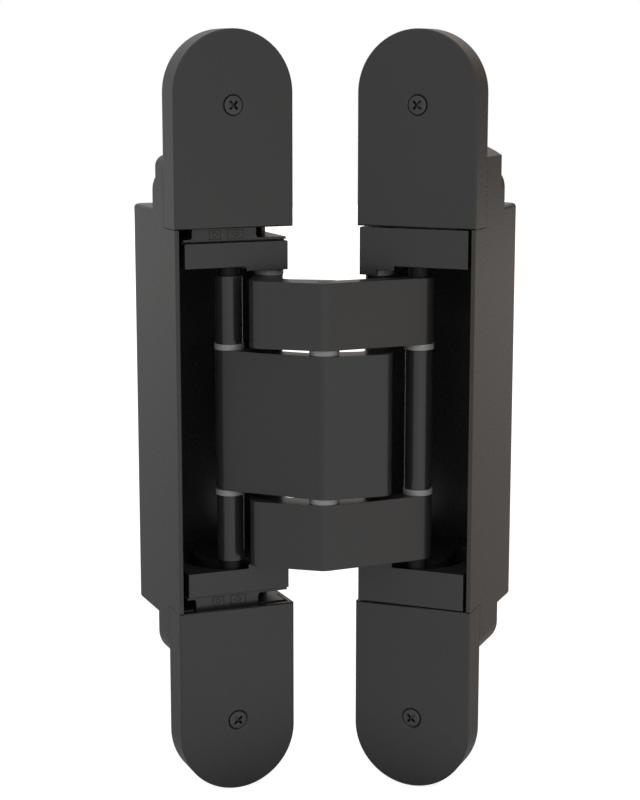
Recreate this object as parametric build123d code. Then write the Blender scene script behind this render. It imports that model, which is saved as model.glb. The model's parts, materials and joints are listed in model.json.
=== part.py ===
from build123d import *
import os
from math import asin, atan2, cos, degrees, hypot, radians, sin

# A concealed two-leaf door hinge, 200 mm long and 32 mm wide, shown 135 degrees open.
# The jamb leaf carries the frame: X runs across the leaf towards the knuckle,
# Y runs into the jamb, Z runs up, and Y = 0 is the plane of the flange backs.
# Every size is in millimetres or degrees.

# leaf outline
LEAF_LENGTH = 200.0
LEAF_WIDTH = 32.0
CAP_LENGTH = 50.0
FLANGE_DEPTH = 9.0

# caps
CAP_FACE = 1.2
CAP_WALL = 1.2
CAP_FIT = 0.15
CAP_RIM_GAP = 0.2
CAP_EDGE = 0.3
HEAD_ROOM = 2.2
CAP_SCREW_FROM_END = 19.0
CAP_SCREW_HEAD_R = 2.9
CAP_SCREW_SHANK_R = 1.5
CAP_SCREW_SINK = 0.1
CAP_SCREW_LENGTH = 7.0
CAP_BOSS_R = 4.0

# housings: heights past the caps' lower edge, depths from the leaf's face
BODY_PAST = 4.4
JAMB_BODY_DEPTH = 36.5
DOOR_BODY_DEPTH = 38.0
BODY_CORNER = 3.0
BODY_RIM = 1.0
BACK_WALL = 1.5
SIDE_WALL = 1.1
POCKET_PAST = 0.2
KNUCKLE_CUT = 20.0
SHOULDER_PAST = 15.7
SHOULDER_CORNER = 6.5
JAMB_SHOULDER_DEPTH = 17.9
DOOR_SHOULDER_DEPTH = 24.7
JAMB_HUMP_PAST = 18.3
JAMB_HUMP_CORNER = 3.0
JAMB_HUMP_DEPTH = 15.3
DOOR_HUMP_PAST = 22.5
DOOR_HUMP_ARC_R = 30.0
DOOR_HUMP_DEPTH = 21.5

# fixing holes in the flanges
FIXING_HOLE_R = 2.6
FIXING_HEAD_R = 4.6
FIXING_SPREAD = 16.0
FIXING_FROM_END = 25.0
END_FIXING_FROM_END = 8.0

# carriers: drops are below the caps' lower edge, gaps are to the pocket's side walls,
# and TONGUE_IN and TONGUE_OUT are the tongue's distances from the leaf's sides
JAMB_CARRIER_DROP = 2.7
CARRIER_GAP = 0.2
JAMB_BAR_GAP = 2.0
JAMB_BAR_INSET = 0.9
JAMB_BAR_SET = 1.5
JAMB_BAR_DROP = 3.7
DOOR_BAR_GAP = 0.95
DOOR_BAR_INSET = 0.65
DOOR_BAR_SET = 0.15
DOOR_BAR_DROP = 0.2
BAR_THICK = 1.3
BAR_GROOVE = 0.35
LEDGE_CORNER = 0.8
JAMB_EAR_START = 3.8
DOOR_EAR_START = 5.9
EAR_DROP = 11.15
EAR_HEIGHT = 1.15
EAR_DEPTH = 13.0
TONGUE_IN = 9.1
TONGUE_OUT = 5.5
TONGUE_PAST = 8.2
TONGUE_DEPTH = 11.6
TONGUE_GAP = 0.4
RECESS_PAST = 10.5
LIP_IN_START = 10.8
LIP_HEIGHT = 1.35
LIP_THICK = 1.2

# clamp screws
CLAMP_SCREW_R = 2.0
CLAMP_HEAD_R = 3.3
CLAMP_HEAD = 3.0
CLAMP_SINK = 0.6
CLAMP_PAST = 4.2
CLAMP_X = -2.0
CLAMP_LENGTH = 11.0
CLAMP_CLEAR = 0.3
CLAMP_HOLE_SPARE = 0.6
SOCKET_R = 1.8
SOCKET_DEPTH = 1.8

# linkage
OPENING = 135.0
CLOSED_GAP = 4.1
NEAR_LINK = 22.0
FAR_LINK = 26.8
LINK_ANGLE = 107.8
SPREAD = 0.28
PIN_RUN = 4.1
PIN_DEPTH = 6.2
LEAF_SHIFT = 0.7

# arms
CENTRE_ARM_HALF = 18.5
ARM_GAP = 1.5
ARM_TO_EAR = 1.65
KNUCKLE_R = 3.7
CENTRE_BOSS_R = 4.15
CREASE_OUT = 4.5
CREASE_R = 3.8
OUTER_SHOULDER_X = 19.4
CENTRE_SHOULDER_X = 17.3
SHOULDER_Y = 0.8
SHOULDER_R = 3.5
INNER_CORNER_Y = 5.6
INNER_CORNER_R = 2.5
FAR_BACK = 1.2

# pins, sleeves, washers and rollers
PIN_R = 2.4
RUN_CLEAR = 0.05
WASHER_R = 3.85
FRONT_WASHER_R = 3.3
SLEEVE_R = 3.55
ROLLER_R = 2.8
SLOT_CLEAR = 0.1
FACE_GAP = 0.05
SLOT_DROP = 3.8
ROLLER_SPARE = 0.5
FRONT_PIN_DROP = 4.5
SLEEVE_PAST_ARM = 0.4
PIN_HEAD = 0.25
PIN_CHAMFER = 0.8
SLOT_STEPS = 12

# angles and places that follow from the sizes above
HALF_WIDTH = LEAF_WIDTH / 2
CAP_START = LEAF_LENGTH / 2 - CAP_LENGTH
CAP_SCREW_Z = LEAF_LENGTH / 2 - CAP_SCREW_FROM_END
FLANGE_FRONT = CAP_FACE + HEAD_ROOM
EDGE_IN = CAP_WALL + CAP_FIT
INNER_HALF = HALF_WIDTH - SIDE_WALL
POCKET_HALF = CAP_START + POCKET_PAST
TONGUE_LOW = TONGUE_OUT - HALF_WIDTH
TONGUE_HIGH = HALF_WIDTH - TONGUE_IN
EAR_FLOOR = CAP_START - EAR_DROP
CARRIER_FLOOR = EAR_FLOOR + EAR_HEIGHT
LIP_FLOOR = EAR_FLOOR - LIP_HEIGHT
SLOT_TOP = CAP_START - SLOT_DROP
ROLLER_TOP = SLOT_TOP - ROLLER_SPARE
FRONT_PIN_TOP = CAP_START - FRONT_PIN_DROP
CLAMP_Z = CAP_START + CLAMP_PAST
CLAMP_HOLE_END = FLANGE_FRONT + CLAMP_LENGTH + CLAMP_HOLE_SPARE
LEAF_TURN = 90 - OPENING / 2
CLOSED_SPREAD = degrees(asin((PIN_DEPTH + CLOSED_GAP / 2) / NEAR_LINK))
OUTER_ARM_LOW = CENTRE_ARM_HALF + ARM_GAP
OUTER_ARM_TOP = EAR_FLOOR - ARM_TO_EAR
JAMB_PIN_DEPTH = PIN_DEPTH + LEAF_SHIFT
DOOR_PIN_DEPTH = PIN_DEPTH - LEAF_SHIFT
PIN_X = HALF_WIDTH - PIN_RUN


def near_angle(opening):
    # angle between the hinge's middle plane and the line from centre pin to front pin
    return CLOSED_SPREAD + SPREAD * opening / 2


def turned(x, y, angle):
    # the vector x, y turned about Z
    c, s = cos(radians(angle)), sin(radians(angle))
    return (c * x - s * y, s * x + c * y)


NEAR_ANGLE = near_angle(OPENING)
FAR_ANGLE = LINK_ANGLE - NEAR_ANGLE
NEAR_X = NEAR_LINK * sin(radians(NEAR_ANGLE))
NEAR_Y = NEAR_LINK * cos(radians(NEAR_ANGLE))
FAR_X = FAR_LINK * sin(radians(FAR_ANGLE))
FAR_Y = FAR_LINK * cos(radians(FAR_ANGLE))
JAMB_PIN = (PIN_X, JAMB_PIN_DEPTH - FLANGE_DEPTH)
JAMB_TO_CENTRE = turned(NEAR_X, -NEAR_Y, -LEAF_TURN)
CENTRE = (JAMB_PIN[0] + JAMB_TO_CENTRE[0], JAMB_PIN[1] + JAMB_TO_CENTRE[1])
CENTRE_TO_DOOR = turned(NEAR_X, NEAR_Y, -LEAF_TURN)
DOOR_PIN = (CENTRE[0] + CENTRE_TO_DOOR[0], CENTRE[1] + CENTRE_TO_DOOR[1])
DOOR_PIN_IN_LEAF = turned(-PIN_X, DOOR_PIN_DEPTH, -2 * LEAF_TURN)

JAMB_PLACE = Location((0, -FLANGE_DEPTH, 0))
LINK_PLACE = Location((CENTRE[0], CENTRE[1], 0), (0, 0, -LEAF_TURN))
DOOR_PLACE = Location(
    (DOOR_PIN[0] - DOOR_PIN_IN_LEAF[0], DOOR_PIN[1] - DOOR_PIN_IN_LEAF[1], 0),
    (0, 0, -2 * LEAF_TURN),
)


# shared forms: a leaf is drawn with its face at Y = 0, its depth along +Y and its knuckle at +X


def slab(sketch, front, back):
    # a front-view outline carried from one depth to another
    face = Plane((0, back, 0), x_dir=(1, 0, 0), z_dir=(0, -1, 0))
    return extrude(face * sketch, back - front)


def block(x_low, x_high, front, back, z_low, z_high):
    size = (x_high - x_low, back - front, z_high - z_low)
    middle = ((x_low + x_high) / 2, (front + back) / 2, (z_low + z_high) / 2)
    return Pos(*middle) * Box(*size)


def prism(sketch, z_low, z_high):
    return extrude(Pos(0, 0, z_low) * sketch, z_high - z_low)


def post(x, y, radius, z_low, z_high):
    return Pos(x, y, z_low) * Cylinder(radius, z_high - z_low, align=(Align.CENTER, Align.CENTER, Align.MIN))


def drilled(x, z, radius, front, back):
    # a round hole or shank along the depth
    return slab(Pos(x, z) * Circle(radius), front, back)


def ring(x, y, outer, inner, z_low, z_high):
    return post(x, y, outer, z_low, z_high) - post(x, y, inner, z_low, z_high)


def flip(shape):
    # the same piece at the other end of the hinge
    return mirror(shape, about=Plane.XY)


def both_ends(shape):
    return [shape, flip(shape)]


def nearest_corner(sketch, x, y):
    return min(sketch.vertices(), key=lambda v: hypot(v.X - x, v.Y - y))


def countersink(x, z, face, head, hole):
    # a ninety-degree countersink whose mouth lies at the depth called face
    cone = Cone(head, hole, head - hole, align=(Align.CENTER, Align.CENTER, Align.MIN))
    return Pos(x, face, z) * Rot(-90, 0, 0) * cone


# housings


def flange_outline():
    length = LEAF_LENGTH - 2 * EDGE_IN
    width = LEAF_WIDTH - 2 * EDGE_IN
    return SlotOverall(length, width, rotation=90)


def fixing_places():
    wide_z = LEAF_LENGTH / 2 - FIXING_FROM_END
    end_z = LEAF_LENGTH / 2 - END_FIXING_FROM_END
    wide = [(sx * FIXING_SPREAD / 2, sz * wide_z) for sx in (-1, 1) for sz in (-1, 1)]
    return wide + [(0, sz * end_z) for sz in (-1, 1)]


def end_rim(solid, end):
    # the edges round the top or bottom face, all but the front one
    return solid.faces().sort_by(Axis.Z)[end].edges().sort_by(Axis.Y)[1:]


def body(depth):
    half = CAP_START + BODY_PAST
    shape = block(-HALF_WIDTH, HALF_WIDTH, FLANGE_DEPTH, depth, -half, half)
    back_edges = shape.edges().filter_by(Axis.Z).group_by(Axis.Y)[-1]
    shape = fillet(back_edges, BODY_CORNER)
    return fillet(end_rim(shape, -1) + end_rim(shape, 0), BODY_RIM)


def shoulders():
    half = CAP_START + SHOULDER_PAST
    return RectangleRounded(LEAF_WIDTH, 2 * half, SHOULDER_CORNER)


def jamb_hump():
    top = CAP_START + JAMB_HUMP_PAST
    return Pos(0, top / 2) * RectangleRounded(LEAF_WIDTH, top, JAMB_HUMP_CORNER)


def door_hump():
    top = CAP_START + DOOR_HUMP_PAST
    strip = Pos(0, top / 2) * Rectangle(LEAF_WIDTH, top)
    return strip & Pos(0, top - DOOR_HUMP_ARC_R) * Circle(DOOR_HUMP_ARC_R)


def housing(body_depth, shoulder_depth, hump_depth, hump):
    shape = slab(flange_outline(), FLANGE_FRONT, FLANGE_DEPTH)
    shape += block(-HALF_WIDTH, HALF_WIDTH, 0, FLANGE_DEPTH, -CAP_START, CAP_START)
    shape += body(body_depth)
    shape += slab(shoulders(), FLANGE_DEPTH, shoulder_depth)
    shape += slab(hump, FLANGE_DEPTH, hump_depth)
    pocket_depth = body_depth - BACK_WALL
    shape -= block(-INNER_HALF, INNER_HALF, 0, pocket_depth, -POCKET_HALF, POCKET_HALF)
    shape -= block(0, HALF_WIDTH, 0, KNUCKLE_CUT, -POCKET_HALF, POCKET_HALF)
    recess = block(
        TONGUE_LOW - TONGUE_GAP,
        TONGUE_HIGH + TONGUE_GAP,
        0,
        TONGUE_DEPTH + TONGUE_GAP,
        CAP_START,
        CAP_START + RECESS_PAST,
    )
    for end in both_ends(recess):
        shape -= end
    for end in (-1, 1):
        shape -= drilled(CLAMP_X, end * CLAMP_Z, CLAMP_SCREW_R + RUN_CLEAR, TONGUE_DEPTH, CLAMP_HOLE_END)
        shape -= drilled(0, end * CAP_SCREW_Z, CAP_SCREW_SHANK_R + RUN_CLEAR, FLANGE_FRONT, FLANGE_DEPTH)
    for x, z in fixing_places():
        shape -= drilled(x, z, FIXING_HOLE_R, FLANGE_FRONT, shoulder_depth)
        shape -= countersink(x, z, FLANGE_FRONT, FIXING_HEAD_R, FIXING_HOLE_R)
    return shape


# caps and their screws


def cap():
    start = CAP_START + CAP_FIT
    whole = SlotOverall(LEAF_LENGTH, LEAF_WIDTH, rotation=90)
    window = Pos(0, (start + LEAF_LENGTH) / 2) * Rectangle(LEAF_WIDTH, LEAF_LENGTH - start)
    outline = whole & window
    shell = slab(outline, 0, FLANGE_DEPTH - CAP_RIM_GAP)
    front_edges = shell.edges().group_by(Axis.Y)[0]
    shell = chamfer(front_edges, CAP_EDGE)
    inside = SlotOverall(LEAF_LENGTH - 2 * CAP_WALL, LEAF_WIDTH - 2 * CAP_WALL, rotation=90)
    shell -= slab(inside, CAP_FACE, FLANGE_DEPTH)
    shell += drilled(0, CAP_SCREW_Z, CAP_BOSS_R, CAP_FACE / 2, FLANGE_FRONT)
    shell -= drilled(0, CAP_SCREW_Z, CAP_SCREW_SHANK_R + CAP_FIT, 0, FLANGE_DEPTH)
    shell -= countersink(0, CAP_SCREW_Z, 0, CAP_SCREW_HEAD_R, CAP_SCREW_SHANK_R)
    return shell


def cap_screw():
    rise = CAP_SCREW_HEAD_R - CAP_SCREW_SHANK_R - 2 * CAP_SCREW_SINK
    head = countersink(0, CAP_SCREW_Z, CAP_SCREW_SINK, CAP_SCREW_SHANK_R + rise, CAP_SCREW_SHANK_R)
    shape = head + drilled(0, CAP_SCREW_Z, CAP_SCREW_SHANK_R, CAP_SCREW_SINK, CAP_SCREW_LENGTH)
    arm = CAP_SCREW_SHANK_R
    depth = CAP_SCREW_SHANK_R / 2
    blade = CAP_SCREW_SHANK_R / 5
    cross = slab(Rectangle(2 * arm, 2 * blade) + Rectangle(2 * blade, 2 * arm), 0, CAP_SCREW_SINK + depth)
    return shape - Pos(0, 0, CAP_SCREW_Z) * Rot(0, 45, 0) * cross


# carriers: the two blocks of each leaf that hold the front pin and guide the slide pin


def slide_point(opening, pin_depth):
    # where the slide pin stands in its leaf at an opening angle
    turn = 90 - opening / 2
    near = near_angle(opening)
    far = LINK_ANGLE - near
    run = FAR_LINK * sin(radians(far - turn)) - NEAR_LINK * sin(radians(near - turn))
    depth = FAR_LINK * cos(radians(far - turn)) - NEAR_LINK * cos(radians(near - turn))
    return (PIN_X - run, pin_depth + depth)


def guide_slot(pin_depth):
    places = [slide_point(180 * i / SLOT_STEPS, pin_depth) for i in range(SLOT_STEPS + 1)]
    path = Spline(*places)
    half = ROLLER_R + SLOT_CLEAR
    slot = trace(path, 2 * half)
    slot += Pos(*places[0]) * Circle(half)
    slot += Pos(*places[-1]) * Circle(half)
    return prism(slot, LIP_FLOOR, SLOT_TOP)


def carrier_block(x_low, x_high, front, back, top):
    # the deep part: full width in front, and behind the knuckle's cut only inside the pocket's walls
    step = KNUCKLE_CUT - CARRIER_GAP
    inner = INNER_HALF - CARRIER_GAP
    shape = block(x_low, x_high, front, step, CARRIER_FLOOR, top)
    return shape + block(x_low, inner, step, back, CARRIER_FLOOR, top)


def tongue(front, back, foot):
    # the part that runs up behind the cap and takes the clamp screw
    shape = block(TONGUE_LOW, TONGUE_HIGH, front, back, foot, CAP_START)
    shape += block(TONGUE_LOW, TONGUE_HIGH, front, TONGUE_DEPTH, CAP_START, CAP_START + TONGUE_PAST)
    return shape


def ear(x_low, x_high, front):
    return block(x_low, x_high, front, EAR_DEPTH, EAR_FLOOR, CARRIER_FLOOR)


def clamp_hole():
    hole = drilled(CLAMP_X, CLAMP_Z, CLAMP_SCREW_R + CLAMP_CLEAR, 0, TONGUE_DEPTH)
    seat = drilled(CLAMP_X, CLAMP_Z, CLAMP_HEAD_R + CLAMP_CLEAR, 0, FLANGE_FRONT + CLAMP_HEAD + CLAMP_SINK)
    return hole + seat


def jamb_carrier():
    # its ledge stands back behind the bar, with a groove between the two and a round corner at each end
    x_low, x_high = JAMB_BAR_GAP - INNER_HALF, HALF_WIDTH - JAMB_BAR_INSET
    top, bar_top = CAP_START - JAMB_CARRIER_DROP, CAP_START - JAMB_BAR_DROP
    ledge = JAMB_BAR_SET + BAR_THICK
    back = JAMB_BODY_DEPTH - BACK_WALL - CARRIER_GAP
    shape = carrier_block(x_low, x_high, ledge, back, top)
    shape += tongue(ledge, back, top)
    foot = shape.edges().filter_by(Axis.Y)
    foot = foot.filter_by(lambda e: abs(e.center().Z - top) < CARRIER_GAP)
    foot = foot.filter_by(lambda e: TONGUE_LOW - CARRIER_GAP < e.center().X < TONGUE_HIGH + CARRIER_GAP)
    shape = fillet(foot, LEDGE_CORNER)
    shape -= block(x_low, x_high, ledge, ledge + BAR_THICK, bar_top, bar_top + BAR_GROOVE)
    shape += block(x_low, x_high, JAMB_BAR_SET, ledge, CARRIER_FLOOR, bar_top)
    shape += ear(JAMB_EAR_START, x_high, JAMB_BAR_SET)
    shape -= guide_slot(JAMB_PIN_DEPTH)
    shape -= clamp_hole()
    return shape - post(PIN_X, JAMB_PIN_DEPTH, PIN_R, EAR_FLOOR, FRONT_PIN_TOP)


def door_carrier():
    x_low, x_high = DOOR_BAR_GAP - INNER_HALF, HALF_WIDTH - DOOR_BAR_INSET
    top = CAP_START - DOOR_BAR_DROP
    back = DOOR_BODY_DEPTH - BACK_WALL - CARRIER_GAP
    shape = carrier_block(x_low, x_high, DOOR_BAR_SET, back, top)
    shape += tongue(FLANGE_FRONT - BAR_THICK, back, top)
    shape += ear(DOOR_EAR_START, x_high, DOOR_BAR_SET)
    shape += block(LIP_IN_START, x_high, DOOR_BAR_SET, DOOR_BAR_SET + LIP_THICK, LIP_FLOOR, EAR_FLOOR)
    shape -= guide_slot(DOOR_PIN_DEPTH)
    shape -= clamp_hole()
    return shape - post(PIN_X, DOOR_PIN_DEPTH, PIN_R, EAR_FLOOR, FRONT_PIN_TOP)


def clamp_screw():
    front = FLANGE_FRONT + CLAMP_SINK
    shape = drilled(CLAMP_X, CLAMP_Z, CLAMP_HEAD_R, front, front + CLAMP_HEAD)
    shape += drilled(CLAMP_X, CLAMP_Z, CLAMP_SCREW_R, front, front + CLAMP_LENGTH - CLAMP_SINK)
    socket = Pos(CLAMP_X, CLAMP_Z) * RegularPolygon(SOCKET_R, 6)
    return shape - slab(socket, front, front + SOCKET_DEPTH)


# pins, sleeves, washers and rollers of one leaf


def front_pin(pin_depth):
    return post(PIN_X, pin_depth, PIN_R, -FRONT_PIN_TOP, FRONT_PIN_TOP)


def collar(x, y, outer, z_low, z_high):
    return ring(x, y, outer, PIN_R + RUN_CLEAR, z_low, z_high)


# arms, drawn about the centre pin with the hinge's middle plane along Y


def arm_outline(shoulder_x):
    front_pin_at = (-NEAR_X, NEAR_Y)
    slide_pin_at = (FAR_X, FAR_Y)
    crease = (0, -CREASE_OUT)
    shoulder = (-shoulder_x, SHOULDER_Y)
    reach = hypot(FAR_X, FAR_Y + CREASE_OUT)
    slope = degrees(atan2(FAR_Y + CREASE_OUT, FAR_X) - asin(KNUCKLE_R / reach))
    tangent = (FAR_X + KNUCKLE_R * sin(radians(slope)), FAR_Y - KNUCKLE_R * cos(radians(slope)))
    back_x = -FAR_BACK * FAR_Y / FAR_LINK
    back_y = FAR_BACK * FAR_X / FAR_LINK
    inner_corner = (-NEAR_X + KNUCKLE_R, INNER_CORNER_Y)
    outline = Polygon(
        crease,
        tangent,
        slide_pin_at,
        (FAR_X + back_x, FAR_Y + back_y),
        (back_x, back_y),
        (0, CENTRE_BOSS_R),
        inner_corner,
        (-NEAR_X + KNUCKLE_R, NEAR_Y),
        (-NEAR_X - KNUCKLE_R, NEAR_Y),
        shoulder,
        align=None,
    )
    outline = fillet(nearest_corner(outline, *crease), CREASE_R)
    outline = fillet(nearest_corner(outline, *shoulder), SHOULDER_R)
    outline = fillet(nearest_corner(outline, *inner_corner), INNER_CORNER_R)
    outline += Circle(CENTRE_BOSS_R)
    outline += Pos(*front_pin_at) * Circle(KNUCKLE_R)
    return outline + Pos(*slide_pin_at) * Circle(KNUCKLE_R)


def outer_arm():
    shape = prism(arm_outline(OUTER_SHOULDER_X), OUTER_ARM_LOW, OUTER_ARM_TOP)
    shape -= post(-NEAR_X, NEAR_Y, PIN_R + RUN_CLEAR, OUTER_ARM_LOW, OUTER_ARM_TOP)
    shape -= post(0, 0, PIN_R, OUTER_ARM_LOW, OUTER_ARM_TOP)
    return shape - post(FAR_X, FAR_Y, PIN_R, OUTER_ARM_LOW, OUTER_ARM_TOP)


def centre_arm():
    low, high = -CENTRE_ARM_HALF, CENTRE_ARM_HALF
    shape = mirror(prism(arm_outline(CENTRE_SHOULDER_X), low, high), about=Plane.YZ)
    shape -= post(NEAR_X, NEAR_Y, PIN_R + RUN_CLEAR, low, high)
    shape -= post(0, 0, PIN_R + RUN_CLEAR, low, high)
    return shape - post(-FAR_X, FAR_Y, PIN_R, low, high)


def centre_pin():
    top = OUTER_ARM_TOP + PIN_HEAD
    shape = post(0, 0, PIN_R, -top, top)
    ends = shape.edges().filter_by(GeomType.CIRCLE)
    return chamfer(ends, PIN_HEAD, PIN_CHAMFER)


def slide_pin(x):
    return post(x, FAR_Y, PIN_R, -ROLLER_TOP, ROLLER_TOP)


def paired(make):
    # the upper piece and its twin at the lower end, as one group
    upper = make()
    return Compound([upper, flip(upper)])


def front_washers(y, low, high, above):
    # pairs of washers inside and outside the outer arms, with a running gap to the arm that turns
    inner = collar(PIN_X, y, FRONT_WASHER_R, low, high)
    outer = collar(PIN_X, y, WASHER_R, above, EAR_FLOOR)
    return Compound([inner, outer, flip(inner), flip(outer)])


def slide_washers(x):
    return paired(lambda: collar(x, FAR_Y, WASHER_R, CENTRE_ARM_HALF, OUTER_ARM_LOW))


def slide_rollers(x, start):
    return paired(lambda: collar(x, FAR_Y, ROLLER_R, start, ROLLER_TOP))


def jamb_parts():
    x, y = PIN_X, JAMB_PIN_DEPTH
    carrier = jamb_carrier()
    upper_cap = cap()
    low, high = OUTER_ARM_LOW - FACE_GAP, OUTER_ARM_TOP + FACE_GAP
    return {
        "jamb_housing": housing(JAMB_BODY_DEPTH, JAMB_SHOULDER_DEPTH, JAMB_HUMP_DEPTH, jamb_hump()),
        "jamb_cap_top": upper_cap,
        "jamb_cap_bottom": flip(upper_cap),
        "jamb_cap_screws": paired(cap_screw),
        "jamb_carrier_top": carrier,
        "jamb_carrier_bottom": flip(carrier),
        "jamb_clamp_screws": paired(clamp_screw),
        "jamb_front_pin": front_pin(JAMB_PIN_DEPTH),
        "jamb_front_sleeve": collar(x, y, SLEEVE_R, -CENTRE_ARM_HALF, CENTRE_ARM_HALF),
        "jamb_front_washers": front_washers(y, CENTRE_ARM_HALF, low, high),
    }


def door_parts():
    x, y = PIN_X, DOOR_PIN_DEPTH
    carrier = door_carrier()
    upper_cap = cap()
    sleeve = collar(x, y, SLEEVE_R, OUTER_ARM_LOW, OUTER_ARM_TOP)
    return {
        "door_housing": housing(DOOR_BODY_DEPTH, DOOR_SHOULDER_DEPTH, DOOR_HUMP_DEPTH, door_hump()),
        "door_cap_top": upper_cap,
        "door_cap_bottom": flip(upper_cap),
        "door_cap_screws": paired(cap_screw),
        "door_carrier_top": carrier,
        "door_carrier_bottom": flip(carrier),
        "door_clamp_screws": paired(clamp_screw),
        "door_front_pin": front_pin(DOOR_PIN_DEPTH),
        "door_front_sleeve_top": sleeve,
        "door_front_sleeve_bottom": flip(sleeve),
        "door_front_washers": front_washers(y, CENTRE_ARM_HALF + FACE_GAP, OUTER_ARM_LOW, OUTER_ARM_TOP),
    }


def outer_link_parts():
    arm = outer_arm()
    return {
        "outer_arm_top": arm,
        "outer_arm_bottom": flip(arm),
        "centre_pin": centre_pin(),
        "centre_washers": paired(lambda: collar(0, 0, WASHER_R, CENTRE_ARM_HALF + FACE_GAP, OUTER_ARM_LOW)),
        "door_slide_pin": slide_pin(FAR_X),
        "door_slide_sleeve": collar(FAR_X, FAR_Y, SLEEVE_R, -CENTRE_ARM_HALF, CENTRE_ARM_HALF),
        "door_slide_washers": slide_washers(FAR_X),
        "door_slide_rollers": slide_rollers(FAR_X, OUTER_ARM_TOP),
    }


def centre_link_parts():
    sleeve_top = OUTER_ARM_TOP + SLEEVE_PAST_ARM
    sleeve = collar(-FAR_X, FAR_Y, SLEEVE_R, OUTER_ARM_LOW, sleeve_top)
    return {
        "centre_arm": centre_arm(),
        "jamb_slide_pin": slide_pin(-FAR_X),
        "jamb_slide_sleeve_top": sleeve,
        "jamb_slide_sleeve_bottom": flip(sleeve),
        "jamb_slide_washers": slide_washers(-FAR_X),
        "jamb_slide_rollers": slide_rollers(-FAR_X, sleeve_top),
    }


def hinge():
    nodes = {name: JAMB_PLACE * shape for name, shape in jamb_parts().items()}
    for parts in (outer_link_parts(), centre_link_parts()):
        nodes.update({name: LINK_PLACE * shape for name, shape in parts.items()})
    for name, shape in door_parts().items():
        nodes[name] = DOOR_PLACE * mirror(shape, about=Plane.YZ)
    return nodes


os.makedirs("parts", exist_ok=True)
for node, shape in hinge().items():
    export_step(shape, f"parts/{node}.step")
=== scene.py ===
import json
import math

import bmesh
import bpy
from mathutils import Matrix, Vector


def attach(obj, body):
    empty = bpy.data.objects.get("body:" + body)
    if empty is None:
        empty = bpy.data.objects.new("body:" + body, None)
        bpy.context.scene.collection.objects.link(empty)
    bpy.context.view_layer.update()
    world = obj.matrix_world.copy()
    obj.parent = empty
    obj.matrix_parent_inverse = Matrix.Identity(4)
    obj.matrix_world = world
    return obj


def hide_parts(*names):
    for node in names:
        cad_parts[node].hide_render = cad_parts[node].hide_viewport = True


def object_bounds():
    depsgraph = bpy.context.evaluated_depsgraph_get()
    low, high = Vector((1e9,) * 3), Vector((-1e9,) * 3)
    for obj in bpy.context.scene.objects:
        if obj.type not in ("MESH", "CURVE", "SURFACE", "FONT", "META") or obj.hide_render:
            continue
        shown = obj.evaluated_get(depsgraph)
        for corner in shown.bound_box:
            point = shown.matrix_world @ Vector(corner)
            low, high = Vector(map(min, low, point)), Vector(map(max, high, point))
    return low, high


# A concealed door hinge in satin black, standing as it would be fixed in the door frame.
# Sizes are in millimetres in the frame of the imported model, whose own unit is the metre.
# A fade is the pair of values between which one level goes over into another.

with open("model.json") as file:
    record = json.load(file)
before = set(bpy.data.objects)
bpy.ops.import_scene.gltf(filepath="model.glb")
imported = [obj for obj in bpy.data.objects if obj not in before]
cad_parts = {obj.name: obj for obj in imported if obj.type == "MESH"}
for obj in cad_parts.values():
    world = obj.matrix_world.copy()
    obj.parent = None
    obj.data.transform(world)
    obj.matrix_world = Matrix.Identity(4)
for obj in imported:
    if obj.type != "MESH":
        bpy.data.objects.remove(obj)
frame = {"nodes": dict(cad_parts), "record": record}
cad_low, cad_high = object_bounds()
nodes = frame["nodes"]
slots = {part["node"]: part["material_slot"] for part in frame["record"]["subparts"]}
joints = {joint["name"]: joint for joint in frame["record"]["behaviour"]["joints"]}
MM = 0.001

# camera, from the photograph's own perspective
CAMERA_PLACE = (-164.216, -456.405, 93.370)
CAMERA_YAW = -22.763
CAMERA_PITCH = -10.423
CAMERA_ROLL = 0.025
FOCAL_PIXELS = 1874.67
PICTURE_HEIGHT = 800
SENSOR = 36.0
CLIP_NEAR = 0.01
CLIP_FAR = 20.0

# floor: its tone by the distance in metres beyond the hinge, seen from the camera
FLOOR_DROP = 0.3
FLOOR_SIZE = 3600.0
FLOOR_ROUGHNESS = 0.8
FLOOR_TONE_FRONT = 0.92
FLOOR_TONE_BEHIND = 0.31
FLOOR_TONE_FAR = 0.50
FLOOR_BEHIND_FADE = (-0.04, 0.01)
FLOOR_FAR_FADE = (0.12, 0.9)
FLOOR_WARM_FADE = (0.06, 0.16)
FLOOR_GLOW = 0.86

# floor's painted sheen: a glow that only glossy surfaces reflect, by the cosine of its bearing from the hinge
FLOOR_SHEEN = 0.34
SHEEN_FRONT_FADE = (-0.98, -0.7)
SHEEN_FRONT_EDGE = 0.55
SHEEN_END_FADE = (-0.4, 0.0)
SHEEN_BEHIND_FADE = (0.82, 0.95)
SHEEN_SIDE_FADE = (-0.6, 0.6)
SHEEN_LEFT_GAIN = 0.1
SHEEN_RIGHT_GAIN = 1.9

# world's light, by the cosine of its direction
LIGHT_FROM_CAMERA_SIDE = 0.92
LIGHT_FROM_BEHIND = 0.46
ROOM_FADE = (-0.6, 0.8)
SOFTBOX_LIGHT = 0.35
SOFTBOX_RISE = 8.0
SOFTBOX_FADE = (0.70, 0.96)
CEILING_LIGHT = 0.3
CEILING_FADE = (0.25, 0.7)
RIGHT_SHADE = 0.35
RIGHT_SHADE_FADE = (0.75, 0.98)
WORLD_WARM_FADE = (0.3, 0.8)
NEUTRAL_LIGHT = (1.0, 1.0, 1.0)
WARM_LIGHT = (1.12, 1.0, 0.91)
WHITE = (1.0, 1.0, 1.0, 1.0)

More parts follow.
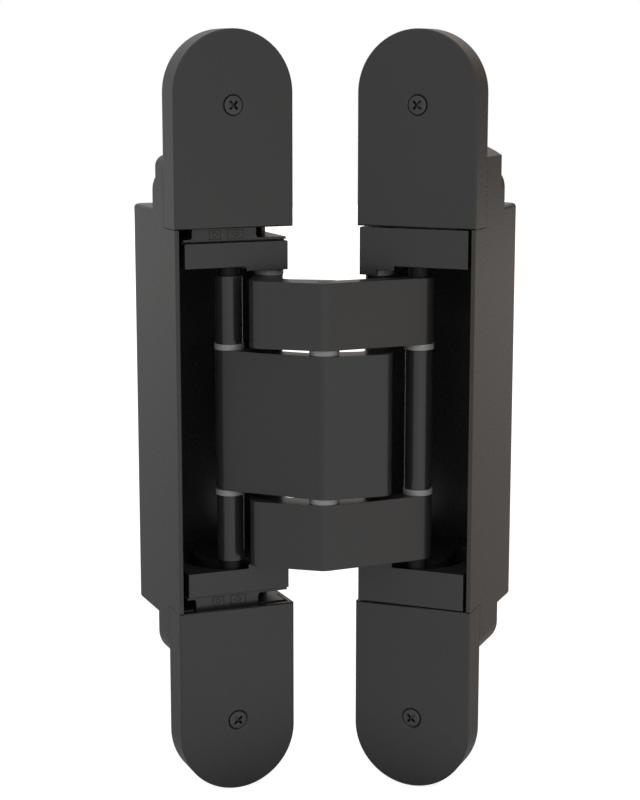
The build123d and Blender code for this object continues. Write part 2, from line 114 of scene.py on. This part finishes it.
# finishes: a share is of the tone, a swing is to both sides of a level
TEXTURE_FADE = (0.3, 0.7)
EDGE_FADE = (0.75, 0.995)
EDGE_SAMPLES = 6
COAT_CLOUD_SCALE = 45.0
COAT_DETAIL = 3.0
COAT_CLOUD_SHARE = 0.03
COAT_PEEL_ROUGHNESS = 0.6
COAT_GLOSS_SWING = 0.015
COAT_PEEL_BUMP = 0.012
COAT_PEEL_DEPTH = 0.02
STEEL_TINT = (1.0, 1.0, 1.01)
STEEL_RING_SCALE = 300.0
STEEL_DETAIL = 3.0
STEEL_RING_STRETCH = (1.0, 1.0, 14.0)
STEEL_RING_SHARE = 0.08
STEEL_GLOSS_SWING = 0.04
STEEL_RING_BUMP = 0.08
STEEL_RING_DEPTH = 0.01
STEEL_EDGE_RADIUS = 0.15
STEEL_EDGE_HIGHLIGHT_GAIN = 1.4
PLASTIC_FLOW_SCALE = 220.0
PLASTIC_DETAIL = 4.0
PLASTIC_FLOW_SHARE = 0.06
PLASTIC_GLOSS = 0.51
PLASTIC_GLOSS_SWING = 0.05
PLASTIC_FLOW_BUMP = 0.06
PLASTIC_FLOW_DEPTH = 0.01
PLASTIC_EDGE_RADIUS = 0.12

# leaves
FLANGE_DEPTH = 9.0
LEAF_TURN = 45.0
DOOR_PIN_IN_LEAF = (-11.9, 5.5)

# cap screws: the face as radius and depth, the rim as distance in from the head's radius and depth
SCREWS_PER_LEAF = 2
SCREW_SPACING = 162.0
SCREW_HEAD_R = 2.4
SCREW_FACE = ((0.9, 0.05), (1.9, 0.08))
SCREW_RIM = ((0.18, 0.13), (0.05, 0.18), (0.0, 0.28))
SCREW_SHANK_R = 1.5
SCREW_LENGTH = 6.9
SCREW_POINT = 0.4
SCREW_STEPS = 40
SCREW_SHARP_ANGLE = 30.0
SCREW_SPIN = 3.0
CROSS_REACH = 1.6
CROSS_HALF = 0.35
CROSS_DEPTH = 1.3
CROSS_LEAD = 0.2
CROSS_TAPER = 0.7
CROSS_TURN = 45.0
CROSS_END_STEPS = 6

# generic marks on the jamb carriers' ledges
LEDGE_DEPTH = 2.8
MARK_HEIGHT = 0.07
MARK_SINK = 0.03
MARK_Z = 48.35
MARK_LINE = 0.16
MARK_HALF_TALL = 1.2
RING_MARK_X = -4.35
RING_MARK_HALF = 1.6
RING_R = 0.7
RING_STEPS = 20
DIAMOND_MARK_X = 1.2
DIAMOND_MARK_HALF = 2.2
DIAMOND_OUTER = (1.2, 0.75)
DIAMOND_INNER = (0.8, 0.5)


# node helpers


def fill(tree, node, inputs):
    # links each named input, or sets a plain value on it
    for socket, value in inputs.items():
        if isinstance(value, bpy.types.NodeSocket):
            tree.links.new(value, node.inputs[socket])
        else:
            node.inputs[socket].default_value = value


def added(tree, kind, inputs, **settings):
    # a new node with its settings and its inputs
    node = tree.nodes.new(kind)
    for name, value in settings.items():
        setattr(node, name, value)
    fill(tree, node, inputs)
    return node


def product(tree, first, second):
    return added(tree, "ShaderNodeMath", {0: first, 1: second}, operation="MULTIPLY").outputs["Value"]


def total(tree, first, second):
    return added(tree, "ShaderNodeMath", {0: first, 1: second}, operation="ADD").outputs["Value"]


def toward(tree, direction, vector):
    # the cosine between two unit directions, or how far a place lies along one
    dot = added(tree, "ShaderNodeVectorMath", {0: direction, 1: vector}, operation="DOT_PRODUCT")
    return dot.outputs["Value"]


def tinted(tree, value, tint):
    # a grey value given a tint
    scaled = added(tree, "ShaderNodeVectorMath", {"Vector": tint, "Scale": value}, operation="SCALE")
    return scaled.outputs["Vector"]


def spread(tree, factor, fade, low, high):
    # goes from low to high while the factor crosses the fade
    start, end = fade
    limits = {"From Min": start, "From Max": end, "To Min": low, "To Max": high}
    return added(tree, "ShaderNodeMapRange", {"Value": factor, **limits}).outputs["Result"]


def warmed(tree, amount):
    # from neutral to warm light
    colours = {"A": (*NEUTRAL_LIGHT, 1), "B": (*WARM_LIGHT, 1)}
    warmth = added(tree, "ShaderNodeMix", {"Factor": amount, **colours}, data_type="RGBA")
    return next(out for out in warmth.outputs if out.type == "RGBA")


# shading helpers


def new_material(name):
    material = bpy.data.materials.new(name)
    material.use_nodes = True
    tree = material.node_tree
    place = added(tree, "ShaderNodeTexCoord", {})
    return material, tree, tree.nodes["Principled BSDF"], place.outputs["Object"]


def noise(tree, place, scale, detail, roughness=0.5):
    look = {"Scale": scale, "Detail": detail, "Roughness": roughness}
    return added(tree, "ShaderNodeTexNoise", {"Vector": place, **look}).outputs["Fac"]


def varied(tree, texture, level, swing):
    return spread(tree, texture, TEXTURE_FADE, level - swing, level + swing)


def softened_edges(tree, radius):
    # the normal rounded over every edge, and how far it leans there
    rounded = added(tree, "ShaderNodeBevel", {"Radius": radius * MM}, samples=EDGE_SAMPLES).outputs["Normal"]
    flat = added(tree, "ShaderNodeNewGeometry", {}).outputs["Normal"]
    return rounded, toward(tree, rounded, flat)


def grained(tree, height, strength, depth, normal):
    grain = {"Strength": strength, "Distance": depth * MM, "Height": height, "Normal": normal}
    return added(tree, "ShaderNodeBump", grain).outputs["Normal"]


# finishes


def sprayed_coat(name, tone, gloss, specular, peel_scale, edge_radius, edge_wear_and_highlight_gain):
    # satin black spray coat: fine orange peel, faint clouds, and a paler tone over the edges, partly as
    # thinner coat and partly as painted highlight
    material, tree, shader, place = new_material(name)
    clouds = noise(tree, place, COAT_CLOUD_SCALE, COAT_DETAIL)
    peel = noise(tree, place, peel_scale, COAT_DETAIL, COAT_PEEL_ROUGHNESS)
    normal, lean = softened_edges(tree, edge_radius)
    cloud_tone = varied(tree, clouds, tone, COAT_CLOUD_SHARE * tone)
    fill(tree, shader, {
        # the tone is raised over the edges: partly thinner coat, partly painted highlight
        "Base Color": product(tree, cloud_tone, spread(tree, lean, EDGE_FADE, edge_wear_and_highlight_gain, 1)),
        "Roughness": varied(tree, peel, gloss, COAT_GLOSS_SWING),
        "Normal": grained(tree, peel, COAT_PEEL_BUMP, COAT_PEEL_DEPTH, normal),
        "Specular IOR Level": specular,
    })
    return material


def turned_steel(name, tone, specular, gloss):
    # turned on a lathe and blackened: fine rings lie across the pin's axis
    material, tree, shader, place = new_material(name)
    stretch = added(tree, "ShaderNodeMapping", {"Vector": place, "Scale": STEEL_RING_STRETCH})
    rings = noise(tree, stretch.outputs["Vector"], STEEL_RING_SCALE, STEEL_DETAIL)
    normal, lean = softened_edges(tree, STEEL_EDGE_RADIUS)
    ring_tone = varied(tree, rings, tone, STEEL_RING_SHARE * tone)
    # painted highlight: the tone is paler over the edges
    edge_highlight_tone = spread(tree, lean, EDGE_FADE, STEEL_EDGE_HIGHLIGHT_GAIN, 1)
    fill(tree, shader, {
        "Base Color": tinted(tree, product(tree, ring_tone, edge_highlight_tone), STEEL_TINT),
        "Roughness": varied(tree, rings, gloss, STEEL_GLOSS_SWING),
        "Normal": grained(tree, rings, STEEL_RING_BUMP, STEEL_RING_DEPTH, normal),
        "Specular IOR Level": specular,
    })
    return material


def moulded_plastic(name, tone):
    # pale bearing plastic of the thrust washers, with the faint flow marks of its mould
    material, tree, shader, place = new_material(name)
    flow = noise(tree, place, PLASTIC_FLOW_SCALE, PLASTIC_DETAIL)
    normal, _ = softened_edges(tree, PLASTIC_EDGE_RADIUS)
    fill(tree, shader, {
        "Base Color": varied(tree, flow, tone, PLASTIC_FLOW_SHARE * tone),
        "Roughness": varied(tree, flow, PLASTIC_GLOSS, PLASTIC_GLOSS_SWING),
        "Normal": grained(tree, flow, PLASTIC_FLOW_BUMP, PLASTIC_FLOW_DEPTH, normal),
    })
    return material


HOUSING_COAT = sprayed_coat(
    "housing_coat", tone=0.016, gloss=0.28, specular=0.38, peel_scale=1500, edge_radius=0.28, edge_wear_and_highlight_gain=1.6
)
ARM_COAT = sprayed_coat(
    "arm_coat", tone=0.016, gloss=0.30, specular=0.36, peel_scale=1700, edge_radius=0.3, edge_wear_and_highlight_gain=1.6
)
SCREW_BLACK = sprayed_coat(
    "screw_black", tone=0.008, gloss=0.33, specular=0.55, peel_scale=4200, edge_radius=0.08, edge_wear_and_highlight_gain=1.8
)
PIN_BLACK = turned_steel("pin_black", tone=0.015, specular=0.38, gloss=0.22)
# painted shade: a darker, duller black stands for the shade deep in the rollers' slots
ROLLER_SHADE_BLACK = turned_steel("roller_shade_black", tone=0.006, specular=0.12, gloss=0.5)
WASHER_GREY = moulded_plastic("washer_grey", tone=0.175)

FINISHES = {
    "housing_metal": HOUSING_COAT,
    "arm_metal": ARM_COAT,
    "black_screw": SCREW_BLACK,
    "dark_pin": PIN_BLACK,
    "bright_washer": WASHER_GREY,
}


def finish_nodes():
    # the rollers deep in their slots get a darker, duller black than the pins they share a slot name with, as
    # painted shade of the slots
    for name, obj in nodes.items():
        finish = ROLLER_SHADE_BLACK if name.endswith("_rollers") else FINISHES[slots[name]]
        obj.data.materials.clear()
        obj.data.materials.append(finish)


# places and directions


def turned(x, y, degrees):
    c, s = math.cos(math.radians(degrees)), math.sin(math.radians(degrees))
    return c * x - s * y, s * x + c * y


def door_origin():
    # the door leaf's face centre, from the record's place of its pin
    pin = joints["door_leaf_swing"]["pos_m"]
    x, y = turned(*DOOR_PIN_IN_LEAF, -LEAF_TURN)
    return pin[0] / MM - x, pin[1] / MM - y


BEYOND = (*turned(0, 1, CAMERA_YAW), 0)
TO_RIGHT = (*turned(1, 0, CAMERA_YAW), 0)
BEYOND_ON_RIGHT = (*turned(0.8, 0.6, CAMERA_YAW), 0)
UP = (0, 0, 1)


# mesh helpers


def linked(name, mesh, finish):
    obj = bpy.data.objects.new(name, mesh)
    bpy.context.scene.collection.objects.link(obj)
    mesh.materials.clear()
    mesh.materials.append(finish)
    return obj


def mesh_from(name, bm):
    bmesh.ops.recalc_face_normals(bm, faces=bm.faces)
    mesh = bpy.data.meshes.new(name)
    bm.to_mesh(mesh)
    bm.free()
    return mesh


def evaluated_mesh(obj):
    return bpy.data.meshes.new_from_object(obj.evaluated_get(bpy.context.evaluated_depsgraph_get()))


def round_outline(x, z, radius, steps):
    angles = [2 * math.pi * i / steps for i in range(steps)]
    return [(x + radius * math.cos(a), z + radius * math.sin(a)) for a in angles]


def loop(bm, outline, depth):
    return [bm.verts.new((x * MM, depth * MM, z * MM)) for x, z in outline]


def strip(bm, first, second):
    # faces between two closed loops with as many points each
    for i in range(len(first)):
        j = (i + 1) % len(first)
        bm.faces.new((first[i], first[j], second[j], second[i]))


# cap screws: countersunk, with a rounded cross recess


def screw_profile():
    # radius and depth from the cap's face, from the middle of the head to the tip
    rim = [(SCREW_HEAD_R - inward, depth) for inward, depth in SCREW_RIM]
    seat = rim[-1][1] + (SCREW_HEAD_R - SCREW_SHANK_R)
    shank = [
        (SCREW_SHANK_R, seat),
        (SCREW_SHANK_R, SCREW_LENGTH - SCREW_POINT),
        (SCREW_SHANK_R - SCREW_POINT, SCREW_LENGTH),
    ]
    return [*SCREW_FACE, *rim, *shank]


def lathe(bm, profile, steps):
    rings = [loop(bm, round_outline(0, 0, radius, steps), depth) for radius, depth in profile]
    for near, far in zip(rings, rings[1:]):
        strip(bm, near, far)
    bm.faces.new(rings[0])
    bm.faces.new(rings[-1])


def cross_outline(scale):
    # four arms with round ends, each arm followed by the corner before the next
    points = []
    for arm in range(4):
        turn = CROSS_TURN + 90 * arm
        for step in range(CROSS_END_STEPS + 1):
            bend = math.radians(-90 + 180 * step / CROSS_END_STEPS)
            x = CROSS_REACH - CROSS_HALF + CROSS_HALF * math.cos(bend)
            y = CROSS_HALF * math.sin(bend)
            points.append(turned(x * scale, y * scale, turn))
        points.append(turned(CROSS_HALF * scale, CROSS_HALF * scale, turn))
    return points


def cross_cutter():
    bm = bmesh.new()
    mouth = loop(bm, cross_outline(1.0), -CROSS_LEAD)
    foot = loop(bm, cross_outline(CROSS_TAPER), CROSS_DEPTH)
    strip(bm, mouth, foot)
    bm.faces.new(mouth)
    bm.faces.new(foot)
    return linked("cross_cutter", mesh_from("cross_cutter", bm), SCREW_BLACK)


def one_screw():
    bm = bmesh.new()
    lathe(bm, screw_profile(), SCREW_STEPS)
    blank = linked("screw_blank", mesh_from("screw_blank", bm), SCREW_BLACK)
    cutter = cross_cutter()
    cut = blank.modifiers.new("cross", "BOOLEAN")
    cut.operation = "DIFFERENCE"
    cut.solver = "EXACT"
    cut.object = cutter
    mesh = evaluated_mesh(blank)
    for part in (blank, cutter):
        bpy.data.objects.remove(part)
    mesh.shade_smooth()
    mesh.set_sharp_from_angle(angle=math.radians(SCREW_SHARP_ANGLE))
    return linked("one_screw", mesh, SCREW_BLACK)


def along(tree, axis, length):
    return added(tree, "ShaderNodeCombineXYZ", {axis: length}).outputs["Vector"]


def about(tree, axis, angle):
    return added(tree, "FunctionNodeEulerToRotation", {"Euler": along(tree, axis, angle)}).outputs["Rotation"]


def screw_row_tree():
    # sets copies of a screw in a row along Z, spins each a little, and places the row in its leaf
    tree = bpy.data.node_groups.new("screw_row", "GeometryNodeTree")
    sockets = [
        ("Geometry", "NodeSocketGeometry"),
        ("Screw", "NodeSocketObject"),
        ("Count", "NodeSocketInt"),
        ("Spacing", "NodeSocketFloat"),
        ("Spin", "NodeSocketFloat"),
        ("Seed", "NodeSocketInt"),
        ("Place", "NodeSocketVector"),
        ("Turn", "NodeSocketFloat"),
        ("Finish", "NodeSocketMaterial"),
    ]
    for name, kind in sockets:
        tree.interface.new_socket(name, in_out="INPUT", socket_type=kind)
    tree.interface.new_socket("Screws", in_out="OUTPUT", socket_type="NodeSocketGeometry")
    given = added(tree, "NodeGroupInput", {}).outputs
    line = added(tree, "GeometryNodeMeshLine", {
        "Count": given["Count"],
        "Start Location": along(tree, "Z", product(tree, given["Spacing"], -0.5)),
        "Offset": along(tree, "Z", given["Spacing"]),
    })
    # the random node's float limits share their names with its vector ones, so they go by number
    chance = added(tree, "FunctionNodeRandomValue", {
        2: product(tree, given["Spin"], -1.0),
        3: given["Spin"],
        "Seed": given["Seed"],
    })
    screw = added(tree, "GeometryNodeObjectInfo", {"Object": given["Screw"]})
    copies = added(tree, "GeometryNodeInstanceOnPoints", {
        "Points": line.outputs["Mesh"],
        "Instance": screw.outputs["Geometry"],
        "Rotation": about(tree, "Y", chance.outputs[1]),
    })
    placed = added(tree, "GeometryNodeTransform", {
        "Geometry": copies.outputs["Instances"],
        "Translation": given["Place"],
        "Rotation": about(tree, "Z", given["Turn"]),
    })
    real = added(tree, "GeometryNodeRealizeInstances", {"Geometry": placed.outputs["Geometry"]})
    finish = added(tree, "GeometryNodeSetMaterial", {
        "Geometry": real.outputs["Geometry"],
        "Material": given["Finish"],
    })
    added(tree, "NodeGroupOutput", {"Screws": finish.outputs["Geometry"]})
    return tree


def grown(name, tree, values, finish):
    # runs a tree with its named inputs and keeps the result as a plain mesh
    carrier = bpy.data.objects.new(name + "_row", bpy.data.meshes.new(name + "_row"))
    bpy.context.scene.collection.objects.link(carrier)
    modifier = carrier.modifiers.new("row", "NODES")
    modifier.node_group = tree
    for item in tree.interface.items_tree:
        if item.in_out == "INPUT" and item.name in values:
            modifier[item.identifier] = values[item.name]
    mesh = evaluated_mesh(carrier)
    carrier.modifiers.remove(modifier)
    bpy.data.objects.remove(carrier)
    mesh.name = name
    return linked(name, mesh, finish)


def make_cap_screws():
    screw = one_screw()
    tree = screw_row_tree()
    door_x, door_y = door_origin()
    leaves = [
        ("jamb_cap_screws", "jamb_leaf", (0, -FLANGE_DEPTH, 0), 0, 3),
        ("door_cap_screws", "door_leaf", (door_x, door_y, 0), -LEAF_TURN, 8),
    ]
    for node, body, place, turn, seed in leaves:
        values = {
            "Screw": screw,
            "Count": SCREWS_PER_LEAF,
            "Spacing": SCREW_SPACING * MM,
            "Spin": math.radians(SCREW_SPIN),
            "Seed": seed,
            "Place": tuple(c * MM for c in place),
            "Turn": math.radians(turn),
            "Finish": SCREW_BLACK,
        }
        piece = grown(node + "_finished", tree, values, SCREW_BLACK)
        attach(piece, body)
        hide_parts(node)
    bpy.data.objects.remove(screw)


# generic marks raised on the jamb carriers' ledges


def raised_band(bm, outer, inner, front, back):
    # a flat band between two outlines with as many points each
    outer_front, outer_back = loop(bm, outer, front), loop(bm, outer, back)
    inner_front, inner_back = loop(bm, inner, front), loop(bm, inner, back)
    around = [outer_front, outer_back, inner_back, inner_front, outer_front]
    for first, second in zip(around, around[1:]):
        strip(bm, first, second)


def box_outline(x, z, half_wide, half_tall):
    corners = ((-1, -1), (1, -1), (1, 1), (-1, 1))
    return [(x + side * half_wide, z + end * half_tall) for side, end in corners]


def diamond_outline(x, z, half_wide, half_tall):
    return [(x - half_wide, z), (x, z - half_tall), (x + half_wide, z), (x, z + half_tall)]


def framed_mark(bm, x, z, half_wide, front, back):
    outer = box_outline(x, z, half_wide, MARK_HALF_TALL)
    inner = box_outline(x, z, half_wide - MARK_LINE, MARK_HALF_TALL - MARK_LINE)
    raised_band(bm, outer, inner, front, back)


def ring_mark(bm, x, z, front, back):
    outer = round_outline(x, z, RING_R, RING_STEPS)
    inner = round_outline(x, z, RING_R - MARK_LINE, RING_STEPS)
    raised_band(bm, outer, inner, front, back)


def diamond_mark(bm, x, z, front, back):
    outer = diamond_outline(x, z, *DIAMOND_OUTER)
    inner = diamond_outline(x, z, *DIAMOND_INNER)
    raised_band(bm, outer, inner, front, back)


def make_ledge_marks():
    face = LEDGE_DEPTH - FLANGE_DEPTH
    front, back = face - MARK_HEIGHT, face + MARK_SINK
    bm = bmesh.new()
    for z in (MARK_Z, -MARK_Z):
        framed_mark(bm, RING_MARK_X, z, RING_MARK_HALF, front, back)
        ring_mark(bm, RING_MARK_X, z, front, back)
        framed_mark(bm, DIAMOND_MARK_X, z, DIAMOND_MARK_HALF, front, back)
        diamond_mark(bm, DIAMOND_MARK_X, z, front, back)
    piece = linked("jamb_ledge_marks", mesh_from("jamb_ledge_marks", bm), HOUSING_COAT)
    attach(piece, "jamb_leaf")


# surroundings


def floor_tone(tree, place):
    # pale in front of the hinge, darker behind it, and half way back far beyond it
    beyond = toward(tree, place, BEYOND)
    near = spread(tree, beyond, FLOOR_BEHIND_FADE, FLOOR_TONE_FRONT, FLOOR_TONE_BEHIND)
    far = spread(tree, beyond, FLOOR_FAR_FADE, 0, FLOOR_TONE_FAR - FLOOR_TONE_BEHIND)
    return total(tree, near, far)


def floor_sheen(tree, place):
    # painted reflection: how brightly the floor glows for glossy rays only, most in front of the hinge and
    # behind it, and on the right
    bearing = added(tree, "ShaderNodeVectorMath", {0: place}, operation="NORMALIZE").outputs["Vector"]
    beyond = toward(tree, bearing, BEYOND)
    front = spread(tree, beyond, SHEEN_FRONT_FADE, FLOOR_SHEEN, SHEEN_FRONT_EDGE * FLOOR_SHEEN)
    front = product(tree, front, spread(tree, beyond, SHEEN_END_FADE, 1, 0))
    behind = spread(tree, beyond, SHEEN_BEHIND_FADE, 0, FLOOR_SHEEN)
    to_right = toward(tree, bearing, TO_RIGHT)
    gain = spread(tree, to_right, SHEEN_SIDE_FADE, SHEEN_LEFT_GAIN, SHEEN_RIGHT_GAIN)
    return product(tree, total(tree, front, behind), gain)


def pale_floor_material():
    # lifted to white for the camera, with the shadow left in it, and with a little painted glow that glossy
    # surfaces reflect
    material, tree, shader, place = new_material("pale_floor")
    # painted warm light: the floor's colour turns warm beyond the hinge on the right
    warm_side = toward(tree, place, BEYOND_ON_RIGHT)
    light = warmed(tree, spread(tree, warm_side, FLOOR_WARM_FADE, 0, 1))
    path = added(tree, "ShaderNodeLightPath", {}).outputs
    glow = product(tree, path["Is Camera Ray"], FLOOR_GLOW)
    sheen = product(tree, path["Is Glossy Ray"], floor_sheen(tree, place))
    fill(tree, shader, {
        "Base Color": tinted(tree, floor_tone(tree, place), light),
        "Roughness": FLOOR_ROUGHNESS,
        "Emission Color": WHITE,
        "Emission Strength": total(tree, glow, sheen),
    })
    return material


def make_floor():
    level = cad_low.z - FLOOR_DROP * MM
    half = FLOOR_SIZE * MM / 2
    corners = [(-half, -half, level), (half, -half, level), (half, half, level), (-half, half, level)]
    mesh = bpy.data.meshes.new("floor")
    mesh.from_pydata(corners, [], [(0, 1, 2, 3)])
    linked("floor", mesh, pale_floor_material())


def make_world():
    # white for the camera; for the rest a pale room, dimmer and warm beyond the hinge on the right,
    # with a light ceiling and a softbox over the camera
    world = bpy.data.worlds.new("studio")
    bpy.context.scene.world = world
    world.use_nodes = True
    tree = world.node_tree
    tree.nodes.clear()
    direction = added(tree, "ShaderNodeTexCoord", {}).outputs["Generated"]
    level, lift = turned(1, 0, SOFTBOX_RISE)
    softbox = (-BEYOND[0] * level, -BEYOND[1] * level, lift)
    on_right = toward(tree, direction, BEYOND_ON_RIGHT)
    beyond = toward(tree, direction, BEYOND)
    room = spread(tree, beyond, ROOM_FADE, LIGHT_FROM_CAMERA_SIDE, LIGHT_FROM_BEHIND)
    room = product(tree, room, spread(tree, on_right, RIGHT_SHADE_FADE, 1, RIGHT_SHADE))
    ceiling = spread(tree, toward(tree, direction, UP), CEILING_FADE, 0, CEILING_LIGHT)
    glow = spread(tree, toward(tree, direction, softbox), SOFTBOX_FADE, 0, SOFTBOX_LIGHT)
    lit = added(tree, "ShaderNodeBackground", {
        "Color": warmed(tree, spread(tree, on_right, WORLD_WARM_FADE, 0, 1)),
        "Strength": total(tree, total(tree, room, ceiling), glow),
    })
    seen = added(tree, "ShaderNodeBackground", {"Color": WHITE})
    path = added(tree, "ShaderNodeLightPath", {})
    mix = added(tree, "ShaderNodeMixShader", {
        "Fac": path.outputs["Is Camera Ray"],
        1: lit.outputs["Background"],
        2: seen.outputs["Background"],
    })
    added(tree, "ShaderNodeOutputWorld", {"Surface": mix.outputs["Shader"]})


def make_camera():
    data = bpy.data.cameras.new("camera")
    data.sensor_fit = "VERTICAL"
    data.sensor_height = SENSOR
    data.sensor_width = SENSOR
    data.lens = FOCAL_PIXELS * SENSOR / PICTURE_HEIGHT
    data.clip_start = CLIP_NEAR
    data.clip_end = CLIP_FAR
    camera = bpy.data.objects.new("camera", data)
    bpy.context.scene.collection.objects.link(camera)
    yaw = Matrix.Rotation(math.radians(CAMERA_YAW), 4, "Z")
    pitch = Matrix.Rotation(math.radians(90 + CAMERA_PITCH), 4, "X")
    roll = Matrix.Rotation(math.radians(CAMERA_ROLL), 4, "Z")
    camera.matrix_world = Matrix.Translation(Vector(CAMERA_PLACE) * MM) @ yaw @ pitch @ roll
    bpy.context.scene.camera = camera


finish_nodes()
make_cap_screws()
make_ledge_marks()
make_floor()
make_world()
make_camera()
bpy.context.scene.view_settings.view_transform = "Standard"
